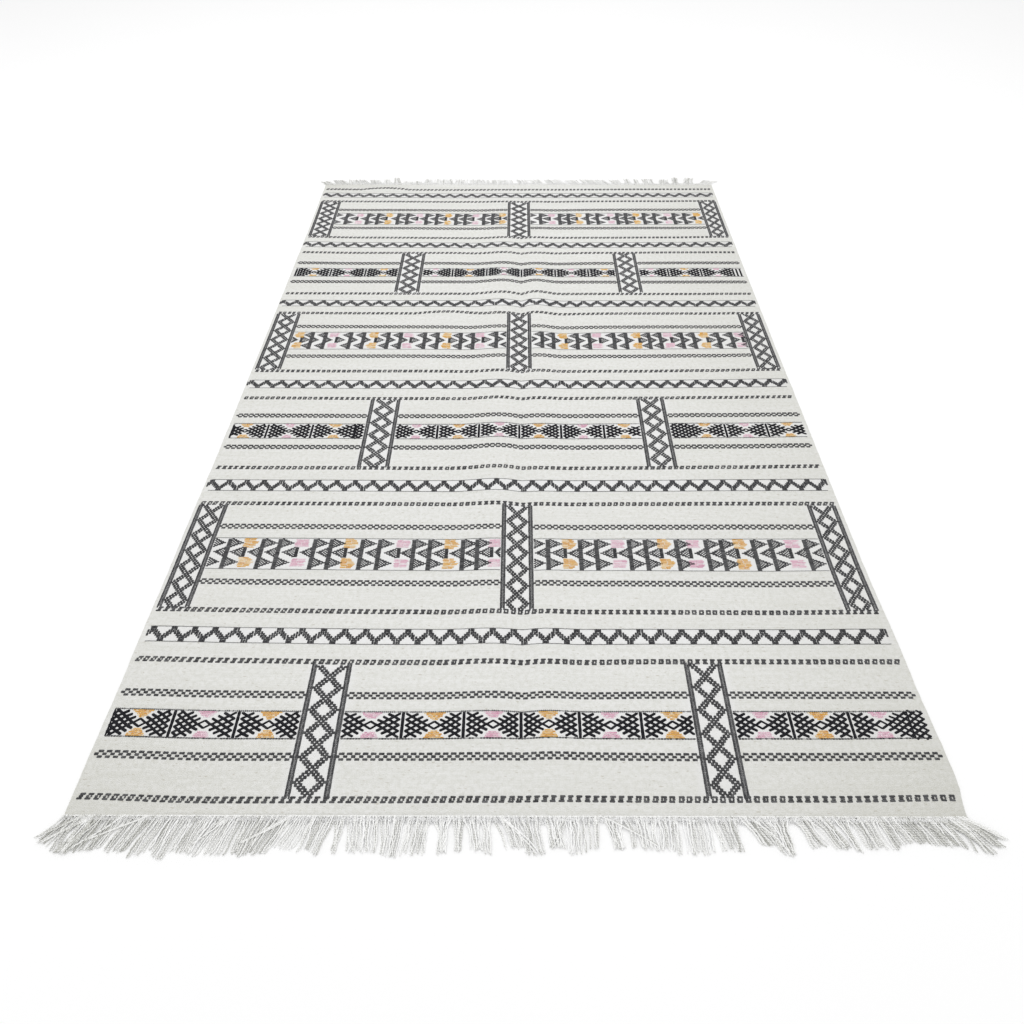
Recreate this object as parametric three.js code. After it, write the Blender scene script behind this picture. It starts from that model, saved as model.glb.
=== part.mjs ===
// A flat woven kilim laid out on a floor. One thin cloth carries a soft crease down its middle,
// with a low ridge on each side of it, and each short end has a fringe of yarn locks.
// Millimetres. X runs across the rug, Y along it, Z is up and the floor is at Z = 0.
// The end nearer to the viewer is the front, at minus Y.

import * as THREE from 'three';
import { mergeVertices } from 'three/addons/utils/BufferGeometryUtils.js';

// The cloth
const CLOTH_WIDTH = 1600;
const CLOTH_LENGTH = 2600;
const CLOTH_THICKNESS = 3;

// The woven side edges wander a little. Each row gives how far the left and the right edge lie
// from the centre line, at a place along the rug.
const SELVEDGE = [
  { along: -1300, left: 806, right: 806 },
  { along: -1225, left: 805, right: 814 },
  { along: -1000, left: 800, right: 808 },
  { along: -700, left: 796, right: 801 },
  { along: -300, left: 791, right: 800 },
  { along: 200, left: 790, right: 799 },
  { along: 800, left: 790, right: 800 },
  { along: 1300, left: 794, right: 802 },
];

// The crease left by folding the rug lengthwise, and the ridges beside it
const CREASE_X = 15;
const RIDGES = {
  left: { width: 190, peak: 65, steps: 10 },
  right: { width: 140, peak: 50, steps: 8 },
};
// How high each ridge stands, at a place along the rug
const RIDGE_LIFT = [
  { along: -1300, left: 0, right: 0 },
  { along: -1200, left: 2, right: 4 },
  { along: -1050, left: 8, right: 6 },
  { along: -700, left: 7, right: 3 },
  { along: -400, left: 9, right: 2 },
  { along: -100, left: 8, right: 4 },
  { along: 200, left: 8, right: 8 },
  { along: 450, left: 9, right: 11 },
  { along: 650, left: 8, right: 4 },
  { along: 950, left: 4, right: 2 },
  { along: 1150, left: 2, right: 1 },
  { along: 1300, left: 0, right: 0 },
];

// Grid of the cloth's faces: wide steps on the flat fields, narrow ones on the ridges
const FIELD_STEPS = 6;
const LENGTH_STEPS = 38;

// The fringe: a narrow strip of bound warps at the cloth's end, and the locks that leave it
const PARTING = 0.3;
const STRIP_DEPTH = 6;
const STRIP_HEIGHT = 3;
const LOCKS_PER_END = 148;
const LOCK_LENGTH = 80;
const LOCK_WIDTH = 7;
const LOCK_FILL = 0.74;
const TIP_WIDTH_SHARE = 0.85;
const TIP_HEIGHT = 2.2;
const LOCK_STEPS = 2;
const TIGHTEST_CLUMP = 0.66;

// How the locks lean to the side, in degrees, at a place across the rug. Plus is to the right.
const FRONT_LEAN = [
  { across: -806, lean: -57 },
  { across: -760, lean: -44 },
  { across: -700, lean: -46 },
  { across: -600, lean: -38 },
  { across: -450, lean: -38 },
  { across: -350, lean: -30 },
  { across: -260, lean: -12 },
  { across: -150, lean: -8 },
  { across: -115, lean: -15 },
  { across: -75, lean: -3 },
  { across: 0, lean: 9 },
  { across: 120, lean: 0 },
  { across: 250, lean: 12 },
  { across: 380, lean: 14 },
  { across: 460, lean: 26 },
  { across: 600, lean: 40 },
  { across: 700, lean: 48 },
  { across: 770, lean: 48 },
  { across: 806, lean: 60 },
];
const BACK_LEAN = [
  { across: -794, lean: -50 },
  { across: -700, lean: -30 },
  { across: -500, lean: -8 },
  { across: -300, lean: -2 },
  { across: -100, lean: -6 },
  { across: 150, lean: -28 },
  { across: 320, lean: -24 },
  { across: 450, lean: -4 },
  { across: 650, lean: 2 },
  { across: 740, lean: 26 },
  { across: 802, lean: 50 },
];

// The gaps between the clumps of locks: where each gap starts at the strip, how wide it opens
// at the tips, and how long the clump to its right is, as a share of the full length.
const FRONT_GAPS = [
  { across: -772, open: 14, reach: 0.95 },
  { across: -741, open: 5, reach: 0.98 },
  { across: -706, open: 11, reach: 0.93 },
  { across: -668, open: 8, reach: 1.0 },
  { across: -627, open: 13, reach: 1.06 },
  { across: -577, open: 15, reach: 0.9 },
  { across: -540, open: 5, reach: 0.98 },
  { across: -500, open: 9, reach: 1.0 },
  { across: -455, open: 13, reach: 0.96 },
  { across: -400, open: 6, reach: 0.9 },
  { across: -362, open: 10, reach: 0.96 },
  { across: -324, open: 13, reach: 0.88 },
  { across: -296, open: 7, reach: 0.82 },
  { across: -239, open: 4, reach: 0.86 },
  { across: -193, open: 7, reach: 0.84 },
  { across: -139, open: 18, reach: 0.84 },
  { across: -112, open: 12, reach: 0.78 },
  { across: -84, open: 12, reach: 0.84 },
  { across: -39, open: 18, reach: 0.82 },
  { across: 36, open: 6, reach: 0.86 },
  { across: 90, open: 8, reach: 0.84 },
  { across: 157, open: 14, reach: 0.74 },
  { across: 192, open: 11, reach: 0.75 },
  { across: 262, open: 8, reach: 0.86 },
  { across: 350, open: 8, reach: 0.84 },
  { across: 402, open: 10, reach: 0.82 },
  { across: 448, open: 6, reach: 0.98 },
  { across: 495, open: 20, reach: 0.86 },
  { across: 530, open: 11, reach: 0.92 },
  { across: 568, open: 11, reach: 0.96 },
  { across: 605, open: 8, reach: 1.0 },
  { across: 655, open: 10, reach: 1.0 },
  { across: 710, open: 6, reach: 1.02 },
  { across: 768, open: 12, reach: 0.8 },
];
const BACK_GAPS = [
  { across: -745, open: 8, reach: 0.7 },
  { across: -690, open: 22, reach: 0.68 },
  { across: -606, open: 5, reach: 0.65 },
  { across: -556, open: 15, reach: 0.68 },
  { across: -516, open: 14, reach: 0.91 },
  { across: -478, open: 12, reach: 0.45 },
  { across: -388, open: 12, reach: 0.73 },
  { across: -345, open: 11, reach: 0.67 },
  { across: -262, open: 12, reach: 0.68 },
  { across: -198, open: 6, reach: 0.64 },
  { across: -122, open: 14, reach: 0.64 },
  { across: 0, open: 20, reach: 0.68 },
  { across: 62, open: 16, reach: 0.7 },
  { across: 128, open: 20, reach: 0.74 },
  { across: 206, open: 18, reach: 0.67 },
  { across: 276, open: 10, reach: 0.71 },
  { across: 392, open: 12, reach: 0.65 },
  { across: 442, open: 12, reach: 0.73 },
  { across: 482, open: 14, reach: 0.68 },
  { across: 515, open: 12, reach: 0.73 },
  { across: 578, open: 20, reach: 0.65 },
  { across: 634, open: 10, reach: 0.92 },
  { across: 674, open: 12, reach: 0.94 },
  { across: 728, open: 22, reach: 0.73 },
];

// The two ends of the rug, with the direction in which each fringe lies
const ENDS = [
  { name: 'fringe_front', outward: -1, lean: FRONT_LEAN, gaps: FRONT_GAPS, firstReach: 0.64 },
  { name: 'fringe_back', outward: 1, lean: BACK_LEAN, gaps: BACK_GAPS, firstReach: 0.52 },
];

const clothMaterial = new THREE.MeshStandardMaterial({ color: 0xe3e3de, roughness: 0.95, metalness: 0 });
const fringeMaterial = new THREE.MeshStandardMaterial({ color: 0xdedfdc, roughness: 0.9, metalness: 0 });

// The value of a column at a place between two rows of a table, eased from row to row
function valueAt(table, place, position, column) {
  const first = table[0];
  const last = table[table.length - 1];
  if (position <= first[place]) return first[column];
  if (position >= last[place]) return last[column];
  const next = table.findIndex((row) => row[place] >= position);
  const before = table[next - 1];
  const after = table[next];
  const share = (position - before[place]) / (after[place] - before[place]);
  return THREE.MathUtils.lerp(before[column], after[column], THREE.MathUtils.smoothstep(share, 0, 1));
}

function edgeAt(along, side) {
  return valueAt(SELVEDGE, 'along', along, side);
}

// Height of the cloth's underside over the floor
function liftAt(x, along) {
  const side = x < CREASE_X ? 'left' : 'right';
  const { width, peak } = RIDGES[side];
  const share = Math.abs(x - CREASE_X) / width;
  if (share >= 1) return 0;
  const skew = Math.log(0.5) / Math.log(peak / width);
  const profile = Math.sin(Math.PI * share ** skew) ** 2;
  return profile * valueAt(RIDGE_LIFT, 'along', along, side);
}

// Places across the cloth where its faces meet, from the left edge to the right one
function acrossStations() {
  const half = CLOTH_WIDTH / 2;
  const leftFoot = CREASE_X - RIDGES.left.width;
  const rightFoot = CREASE_X + RIDGES.right.width;
  const runs = [
    { from: -half, to: leftFoot, steps: FIELD_STEPS },
    { from: leftFoot, to: CREASE_X, steps: RIDGES.left.steps },
    { from: CREASE_X, to: rightFoot, steps: RIDGES.right.steps },
    { from: rightFoot, to: half, steps: FIELD_STEPS },
  ];
  const stations = [-half];
  for (const { from, to, steps } of runs) {
    for (let step = 1; step <= steps; step += 1) {
      stations.push(THREE.MathUtils.lerp(from, to, step / steps));
    }
  }
  return stations;
}

// Moves each corner of a block of faces to its own place
function reshape(geometry, place) {
  geometry.deleteAttribute('normal');
  geometry.deleteAttribute('uv');
  const shaped = mergeVertices(geometry);
  const position = shaped.getAttribute('position');
  const corner = new THREE.Vector3();
  for (let index = 0; index < position.count; index += 1) {
    corner.fromBufferAttribute(position, index);
    const moved = place(corner);
    position.setXYZ(index, moved.x, moved.y, moved.z);
  }
  return shaped;
}

function clothGeometry() {
  const stations = acrossStations();
  const steps = stations.length - 1;
  const half = CLOTH_WIDTH / 2;
  const block = new THREE.BoxGeometry(1, CLOTH_LENGTH, 1, steps, LENGTH_STEPS, 1);
  return reshape(block, (corner) => {
    const station = stations[Math.round((corner.x + 0.5) * steps)];
    const side = station < 0 ? 'left' : 'right';
    const x = station * edgeAt(corner.y, side) / half;
    const underside = liftAt(x, corner.y);
    const z = corner.z > 0 ? underside + CLOTH_THICKNESS : underside;
    return { x, y: corner.y, z };
  });
}

// The clump that a root belongs to: its edges, how much it draws together, and its reach
function clumpOf(root, end, stripLeft, stripRight) {
  const { gaps, firstReach } = end;
  const next = gaps.findIndex((gap) => gap.across > root);
  const right = next === -1 ? { across: stripRight, open: 0 } : gaps[next];
  const before = next === -1 ? gaps.length - 1 : next - 1;
  const left = before < 0 ? { across: stripLeft, open: 0, reach: firstReach } : gaps[before];
  const width = right.across - left.across;
  const drawn = Math.max(TIGHTEST_CLUMP, 1 - (left.open + right.open) / 2 / width);
  const middle = (left.across + left.open / 2 + right.across - right.open / 2) / 2;
  const rootMiddle = (left.across + right.across) / 2;
  return { middle, rootMiddle, drawn, reach: left.reach };
}

// Centre line of one lock: a point at its root, one half way along it and one at its tip
function lockPath(root, end, stripLeft, stripRight) {
  const { middle, rootMiddle, drawn, reach } = clumpOf(root, end, stripLeft, stripRight);
  const lean = THREE.MathUtils.degToRad(valueAt(end.lean, 'across', root, 'lean'));
  const length = LOCK_LENGTH * reach;
  const gathered = middle + (root - rootMiddle) * drawn - root;
  const path = [];
  for (let step = 0; step <= LOCK_STEPS; step += 1) {
    const share = step / LOCK_STEPS;
    const pull = THREE.MathUtils.smoothstep(share, 0, 1);
    path.push({
      x: root + length * Math.sin(lean) * share + gathered * pull,
      out: length * Math.cos(lean) * share,
    });
  }
  return path;
}

// Half widths of a lock at its points, narrow enough to stay clear of the locks beside it
function lockHalfWidths(paths, lock) {
  const neighbours = [paths[lock - 1], paths[lock + 1]].filter((other) => other);
  return paths[lock].map((point, step) => {
    const nearest = Math.min(...neighbours.map((other) => Math.abs(other[step].x - point.x)));
    const taper = THREE.MathUtils.lerp(1, TIP_WIDTH_SHARE, step / LOCK_STEPS);
    return Math.min(LOCK_WIDTH * taper, nearest * LOCK_FILL) / 2;
  });
}

// A slab that stands on the floor over four-sided plan cells, with a wall at each open edge.
// The cells' corners run anticlockwise, and cells that touch share whole edges.
function slabGeometry(cells, heightAt) {
  const edgeKey = (from, to) => [from.x, from.y, to.x, to.y].join();
  const edgesOf = (cell) => cell.map((corner, index) => [corner, cell[(index + 1) % cell.length]]);
  const edges = new Set(cells.flatMap((cell) => edgesOf(cell).map(([from, to]) => edgeKey(from, to))));
  const floor = ({ x, y }) => [x, y, 0];
  const crown = ({ x, y }) => [x, y, heightAt(y)];
  const triangles = [];
  for (const cell of cells) {
    const [a, b, c, d] = cell;
    triangles.push(crown(a), crown(b), crown(c), crown(a), crown(c), crown(d));
    triangles.push(floor(a), floor(c), floor(b), floor(a), floor(d), floor(c));
    for (const [from, to] of edgesOf(cell)) {
      if (edges.has(edgeKey(to, from))) continue;
      triangles.push(floor(from), floor(to), crown(to), floor(from), crown(to), crown(from));
    }
  }
  const geometry = new THREE.BufferGeometry();
  geometry.setAttribute('position', new THREE.Float32BufferAttribute(triangles.flat(), 3));
  return mergeVertices(geometry);
}

// One fringe: its strip and all its locks as one comb, flat on the floor and thinner at the tips
function fringeGeometry(end) {
  const edgeY = end.outward * CLOTH_LENGTH / 2;
  const stripLeft = -edgeAt(edgeY, 'left');
  const stripRight = edgeAt(edgeY, 'right');
  const stripNear = edgeY + end.outward * PARTING;
  const stripFar = stripNear + end.outward * STRIP_DEPTH;

  const pitch = (stripRight - stripLeft) / LOCKS_PER_END;
  const paths = [];
  for (let lock = 0; lock < LOCKS_PER_END; lock += 1) {
    paths.push(lockPath(stripLeft + (lock + 0.5) * pitch, end, stripLeft, stripRight));
  }

  const cells = [];
  const addCell = (...corners) => cells.push(end.outward > 0 ? corners : corners.reverse());
  const addStripCell = (from, to) => addCell(
    { x: from, y: stripNear },
    { x: to, y: stripNear },
    { x: to, y: stripFar },
    { x: from, y: stripFar },
  );
  let reached = stripLeft;
  paths.forEach((path, lock) => {
    const halfWidths = lockHalfWidths(paths, lock);
    const sides = path.map((point, step) => {
      const y = stripFar + end.outward * point.out;
      return [{ x: point.x - halfWidths[step], y }, { x: point.x + halfWidths[step], y }];
    });
    const [rootLeft, rootRight] = sides[0];
    addStripCell(reached, rootLeft.x);
    addStripCell(rootLeft.x, rootRight.x);
    reached = rootRight.x;
    for (let step = 0; step < LOCK_STEPS; step += 1) {
      addCell(sides[step][0], sides[step][1], sides[step + 1][1], sides[step + 1][0]);
    }
  });
  addStripCell(reached, stripRight);

  return slabGeometry(cells, (y) => {
    const out = Math.max(0, (y - stripFar) * end.outward);
    return THREE.MathUtils.lerp(STRIP_HEIGHT, TIP_HEIGHT, out / LOCK_LENGTH);
  });
}

function namedMesh(name, geometry, material) {
  const mesh = new THREE.Mesh(geometry, material);
  mesh.name = name;
  return mesh;
}

const kilim = new THREE.Group();
kilim.add(namedMesh('kilim_cloth', clothGeometry(), clothMaterial));
for (const end of ENDS) {
  kilim.add(namedMesh(end.name, fringeGeometry(end), fringeMaterial));
}

export default kilim;
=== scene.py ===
"""A flat woven Moroccan kilim laid out on a pale floor.

The tables and charts are in millimetres, and every mesh is made in metres. X runs across the
rug, Y along it towards the far end, and Z is up from the floor.
"""

from collections import defaultdict
from math import pi, radians

import bpy
import numpy as np
from mathutils import Matrix


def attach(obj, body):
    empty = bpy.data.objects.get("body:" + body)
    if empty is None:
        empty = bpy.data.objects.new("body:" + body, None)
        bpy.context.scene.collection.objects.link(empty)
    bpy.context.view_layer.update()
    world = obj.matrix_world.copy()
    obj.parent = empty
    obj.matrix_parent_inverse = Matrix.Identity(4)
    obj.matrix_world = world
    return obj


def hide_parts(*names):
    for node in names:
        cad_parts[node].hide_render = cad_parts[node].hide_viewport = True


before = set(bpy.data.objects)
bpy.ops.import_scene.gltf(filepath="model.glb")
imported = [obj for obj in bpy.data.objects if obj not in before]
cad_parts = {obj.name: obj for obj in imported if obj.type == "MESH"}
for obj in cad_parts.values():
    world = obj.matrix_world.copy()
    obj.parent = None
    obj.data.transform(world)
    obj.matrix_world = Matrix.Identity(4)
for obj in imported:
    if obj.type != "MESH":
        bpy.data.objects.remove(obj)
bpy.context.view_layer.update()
bpy.ops.object.select_all(action="DESELECT")

MM = 0.001
uneven = np.random.default_rng(11)


def table(columns, rows):
    """Rows of values under named columns. A short row leaves its last columns out."""
    return [dict(zip(columns.split(), row)) for row in rows]


# The cloth, as on the frame
CLOTH_LENGTH = 2600
HALF_WIDTH = 800
CLOTH_THICKNESS = 3

# How far the two side edges lie from the middle, along the rug
SELVEDGE = table("along left right", [
    (-1300, 806, 806),
    (-1225, 805, 814),
    (-1000, 800, 808),
    (-700, 796, 801),
    (-300, 791, 800),
    (200, 790, 799),
    (800, 790, 800),
    (1300, 794, 802),
])

# The lengthwise crease and the ridge on each side of it, with its lift along the rug
CREASE_X = 15
RIDGE_LEFT = {"width": 190, "peak": 65}
RIDGE_RIGHT = {"width": 140, "peak": 50}
RIDGE_LIFT = table("along left right", [
    (-1300, 0, 0),
    (-1200, 2, 4),
    (-1050, 8, 6),
    (-700, 7, 3),
    (-400, 9, 2),
    (-100, 8, 4),
    (200, 8, 8),
    (450, 9, 11),
    (650, 8, 4),
    (950, 4, 2),
    (1150, 2, 1),
    (1300, 0, 0),
])

# Height of the slight ripple between the ridges, and how far from the ends it dies away
RIPPLE = 1.2
RIPPLE_CALM = 150

# How far the woven rows bow towards the far end, at eight places across the rug
BOW_ACROSS = [-800, -560, -250, -60, 110, 300, 560, 800]
BOW = table("along bow", [
    (-1300, [3, -3, -1, 1, 3, 3, 5, 9]),
    (-1180, [3, -2, 0, 1, 3, 2, 4, 7]),
    (-1010, [5, 1, -2, -2, 0, 3, 4, 5]),
    (-810, [5, 2, 0, -2, 1, 1, 1, 4]),
    (-560, [1, 1, -1, -2, 0, 2, 4, 5]),
    (-360, [0, 0, -1, 0, 0, 3, 6, 12]),
    (-150, [0, -1, -1, -3, 0, 3, 7, 10]),
    (60, [-1, -1, 0, -4, -2, 1, 5, 12]),
    (290, [4, 0, 1, -6, -5, 0, 3, 5]),
    (490, [1, 1, -1, 0, -1, -1, 0, 2]),
    (690, [3, 0, 0, -8, -5, 2, 4, 6]),
    (880, [8, 0, -2, -5, -1, 1, 3, 10]),
    (1120, [5, 1, -2, -4, -1, 4, 4, 9]),
    (1300, [6, 1, -1, 0, 1, 2, 6, 6]),
])

# The sections of the pattern, from the far end to the near one. Each lies between two dotted
# lines, with a chain line on both sides of a wide band. A ladder has its middle, half the distance
# of its bars, the distance of its first crossing from the upper line, and the pitch of its
# crossings. Fade is how pale the yarn of the section has gone. The floats change a little with it:
# edge threads get finer, colour blocks smaller, and chains, zigzags and nets fuller.
LADDER = "middle half first pitch"
SECTIONS = table("kind upper upper_chain top bottom lower_chain lower fade ladders", [
    ("comb", 1141, 1067, 1037, 944, 917, 843, 0.8, table(LADDER, [
        ("left", 35, 40.5, 44), (6.5, 38, 39, 46.7), ("right", 30, 38, 49.5)])),
    ("lattice", 729, 654, 617, 563, 528, 452, 0.9, table(LADDER, [
        (-373, 37, 38.5, 46.7), (385.5, 35.5, 22, 49.3)])),
    ("comb", 331, 253, 221, 131, 95, 20, 0.5, table(LADDER, [
        ("left", 33.5, 30.5, 47.8), (7.5, 33, 26.5, 48), ("right", 30.5, 24.5, 49.5)])),
    ("lattice", -109, -187, -222, -282, -317, -397, 0.5, table(LADDER, [
        (-373, 37, 30, 50.7), (381, 34.5, 29, 50)])),
    ("comb", -526, -603, -641, -736, -773, -851, 0.15, table(LADDER, [
        ("left", 31, 33, 48.7), (3.5, 32, 34.5, 48.7), ("right", 30.5, 35, 48.7)])),
    ("lattice", -977, -1054, -1090, -1147, -1183, -1264, 0.05, table(LADDER, [
        (-378, 36, 36, 48.7), (387.5, 34, 34, 50.2)])),
])
ZIGZAGS = table("top bottom", [
    (1213, 1177),
    (804, 768),
    (408, 372),
    (-26, -63),
    (-443, -482),
    (-896, -934),
])
FIRST_DOTTED_LINE = 1250

# Where a dotted line is pulled a little towards the far end
HUMPS = table("line from to rise", [(1250, -640, -440, 16), (331, -330, -110, 12)])

# The bars of the comb bands and the colour blocks between them, with the lengths of the
# triangles. The outer rows of triangles point to the right where points is 1.
COMB_BANDS = [
    {
        "points": 1,
        "lengths": {"outer": 27, "middle": 23},
        "bars": [-661, -579, -540, -461, -425, -351, -311, -236, -201, -129, -94,
                 90, 164, 198, 272, 310, 387, 420, 490, 530, 606, 647],
        "ochre": [-496, -266, -56, 240, 462, 697],
        "pink": [-610, -377, -160, 135, 363, 583],
    },
    {
        "points": -1,
        "lengths": {"outer": 23, "middle": 21},
        "bars": [-643, -601, -521, -480, -403, -364, -288, -248, -175, -136, -63,
                 80, 115, 190, 228, 305, 343, 415, 450, 518, 555, 632, 674],
        "ochre": [-683, -450, -219, 145, 375, 588],
        "pink": [-573, -340, -114, 252, 475, 698],
    },
    {
        "points": 1,
        "lengths": {"outer": 30, "middle": 27},
        "bars": [-678, -598, -558, -475, -436, -362, -321, -240, -202, -124, -90,
                 76, 152, 190, 268, 306, 379, 449, 485, 560, 601, 683],
        "ochre": [-628, -390, -153, 125, 350, 528],
        "pink": [-505, -265, -47, 241, 418, 652],
    },
]

# The middles of the units of the lattice bands, under the colour that each unit has
LATTICE_BANDS = [
    {"ochre": [-711, -468, -165, 77, 308, 587], "pink": [-593, -285, -45, 190, 470, 700]},
    {"ochre": [-742, -497, -158, 62, 297, 517, 745], "pink": [-622, -273, -45, 183, 628]},
    {"ochre": [-733, -480, -157, 66, 307, 595], "pink": [-605, -281, -42, 186, 480, 712]},
]

# The clumps in which the strands of the fringes lie, from left to right. A clump starts at its own
# place on the cloth's end and stops where the next one starts. Its tips reach from one place to
# another, and out over the cloth's end by as much as given on its left and on its right. Its neck
# is its width on the way there, as a share of its width at the tips. The last place only ends the
# clump before it.
FRONT_CLUMPS = table("from tips tips_to out out_to neck", [
    (-806, -844, -794, 33, 66, 0.6),
    (-766, -788, -748, 57, 60, 1.3),
    (-722, -745, -722, 57, 52, 1.3),
    (-690, -711, -680, 57, 60, 1.25),
    (-645, -673, -628, 66, 57, 1.0),
    (-608, -627, -607, 66, 70, 1.05),
    (-580, -598, -570, 58, 58, 0.95),
    (-548, -569, -549, 62, 66, 1.3),
    (-514, -537, -506, 62, 61, 1.2),
    (-484, -492, -475, 60, 64, 1.25),
    (-448, -470, -452, 60, 60, 1.35),
    (-415, -445, -430, 59, 57, 1.4),
    (-395, -424, -376, 48, 56, 1.1),
    (-356, -366, -352, 53, 59, 1.2),
    (-332, -350, -342, 60, 62, 1.1),
    (-318, -318, -308, 59, 60, 0.9),
    (-300, -293, -273, 57, 57, 0.9),
    (-276, -270, -235, 58, 58, 1.0),
    (-236, -231, -200, 60, 64, 1.1),
    (-190, -198, -151, 60, 59, 0.8),
    (-146, -134, -117, 59, 58, 0.8),
    (-110, -103, -91, 54, 55, 0.9),
    (-88, -72, -56, 52, 55, 0.9),
    (-62, -55, -38, 56, 58, 0.7),
    (-40, -16, 18, 49, 49, 1.0),
    (2, 20, 54, 59, 59, 0.8),
    (46, 60, 90, 48, 48, 0.8),
    (88, 94, 151, 60, 46, 1.0),
    (154, 172, 193, 49, 49, 1.0),
    (192, 206, 254, 46, 51, 1.0),
    (254, 256, 282, 50, 53, 0.9),
    (282, 283, 352, 56, 57, 0.98),
    (348, 361, 401, 50, 52, 1.0),
    (394, 427, 456, 41, 42, 1.0),
    (430, 462, 489, 54, 58, 1.3),
    (490, 516, 549, 47, 40, 0.75),
    (524, 563, 589, 49, 42, 0.9),
    (564, 593, 604, 51, 54, 1.1),
    (592, 614, 649, 48, 44, 0.9),
    (638, 657, 690, 50, 37, 1.05),
    (666, 690, 728, 35, 37, 1.2),
    (704, 730, 765, 40, 42, 1.15),
    (740, 768, 789, 40, 45, 1.25),
    (764, 804, 857, 55, 20, 0.5),
    (806,),
])
BACK_CLUMPS = table("from tips tips_to out out_to neck", [
    (-794, -824, -779, 26, 34, 0.7),
    (-745, -772, -732, 46, 46, 0.9),
    (-690, -702, -631, 49, 49, 1.0),
    (-606, -618, -577, 50, 50, 0.9),
    (-556, -558, -532, 53, 53, 0.9),
    (-516, -519, -494, 72, 72, 0.9),
    (-478, -476, -398, 36, 36, 1.0),
    (-388, -386, -354, 58, 58, 0.9),
    (-345, -342, -270, 54, 54, 1.0),
    (-262, -259, -204, 54, 54, 0.9),
    (-198, -199, -133, 51, 51, 1.0),
    (-122, -123, -18, 50, 50, 1.0),
    (0, -7, 37, 52, 52, 0.9),
    (62, 46, 94, 51, 51, 0.9),
    (128, 110, 169, 52, 52, 1.0),
    (206, 191, 247, 48, 48, 1.0),
    (276, 259, 364, 52, 52, 1.0),
    (392, 391, 429, 51, 51, 0.9),
    (442, 444, 471, 58, 58, 0.9),
    (482, 486, 506, 54, 54, 0.9),
    (515, 520, 567, 58, 58, 0.9),
    (578, 589, 630, 52, 52, 0.9),
    (634, 643, 672, 72, 72, 0.9),
    (674, 699, 736, 72, 68, 0.9),
    (728, 775, 838, 46, 34, 0.8),
    (802,),
])

# Strands of the front fringe that lie over the others, with their number
CROSSINGS = table("from tip out strands", [
    (-652, -757, 41, 2),
    (-700, -775, 56, 2),
    (-740, -800, 60, 3),
    (-758, -788, 60, 4),
    (-770, -796, 62, 6),
    (-757, -834, 45, 3),
    (-770, -842, 33, 2),
    (-515, -562, 46, 2),
    (-402, -482, 42, 3),
    (-30, 40, 58, 2),
    (152, 249, 46, 2),
    (92, 62, 47, 2),
    (414, 478, 58, 2),
    (620, 702, 30, 1),
    (702, 768, 41, 2),
    (745, 820, 47, 2),
    (766, 818, 53, 5),
    (778, 836, 41, 5),
    (786, 850, 28, 4),
])
STRAND_PITCH = 3.66
STRAND_WIDTH = 2.7
STRAND_RINGS = 16


# Shape of the cloth

def column(rows, name):
    return np.array([row[name] for row in rows], float)


def gentle(share):
    """A share from 0 to 1 that starts and stops gently."""
    share = np.clip(share, 0, 1)
    return share * share * (3 - 2 * share)


def eased(places, values, position):
    """The value at each position between given places, eased from one place to the next."""
    places = np.asarray(places, float)
    values = np.asarray(values, float)
    position = np.asarray(position, float)
    before = np.clip(np.searchsorted(places, position) - 1, 0, len(places) - 2)
    share = gentle((position - places[before]) / (places[before + 1] - places[before]))
    return values[before] + (values[before + 1] - values[before]) * share


def edge_at(y, side):
    return eased(column(SELVEDGE, "along"), column(SELVEDGE, side), y)


def half_widths(y):
    """How far the cloth reaches from the middle to its left and to its right edge."""
    return float(edge_at(y, "left")), float(edge_at(y, "right"))


def end_of(x, outward):
    """Where the cloth ends along the rug. The near end runs a little inward to the right."""
    return outward * (CLOTH_LENGTH / 2 - np.where(outward < 0, 6.2 + x / 290, 0.0))


def ridge_at(x, y, side, ridge):
    share = np.clip(np.abs(x - CREASE_X) / ridge["width"], 0, 1)
    skew = np.log(0.5) / np.log(ridge["peak"] / ridge["width"])
    profile = np.sin(pi * share**skew) ** 2
    return profile * eased(column(RIDGE_LIFT, "along"), column(RIDGE_LIFT, side), y)


def lift_at(x, y):
    """Height of the cloth's underside over the floor: the two ridges and a slight ripple."""
    left = ridge_at(x, y, "left", RIDGE_LEFT)
    right = ridge_at(x, y, "right", RIDGE_RIGHT)
    ridges = np.where(x < CREASE_X, left, right)
    waves = np.sin(x / 92 + 1.6 * np.sin(y / 310)) * np.sin(y / 118 + x / 420 + 0.8)
    calm = np.clip((CLOTH_LENGTH / 2 - np.abs(y)) / RIPPLE_CALM, 0, 1)
    return ridges + RIPPLE * 0.5 * (1 + waves) * calm


def top_at(x, y):
    return lift_at(x, y) + CLOTH_THICKNESS


def bowed(x, y):
    """Where a point of a woven row lies along the rug, once the row bows."""
    bows = column(BOW, "bow")
    along = column(BOW, "along")
    shape = np.broadcast(x, y).shape
    x = np.broadcast_to(np.asarray(x, float), shape)
    y = np.broadcast_to(np.asarray(y, float), shape)
    at_place = [eased(along, bows[:, place], y) for place in range(len(BOW_ACROSS))]
    bow = np.zeros(shape)
    for place, (start, end) in enumerate(zip(BOW_ACROSS[:-1], BOW_ACROSS[1:])):
        share = gentle((x - start) / (end - start))
        here = at_place[place] + (at_place[place + 1] - at_place[place]) * share
        bow = np.where((x >= start) | (place == 0), here, bow)
    return y + bow


# Meshes

def new_object(name, mesh):
    piece = bpy.data.objects.new(name, mesh)
    bpy.context.collection.objects.link(piece)
    return piece


def select_only(piece):
    bpy.ops.object.select_all(action="DESELECT")
    piece.select_set(True)
    bpy.context.view_layer.objects.active = piece


def in_edit_mode(*steps):
    """Work on all of the active mesh in edit mode, one step after the other."""
    bpy.ops.object.mode_set(mode="EDIT")
    bpy.ops.mesh.select_all(action="SELECT")
    for step in steps:
        step()
    bpy.ops.object.mode_set(mode="OBJECT")


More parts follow.
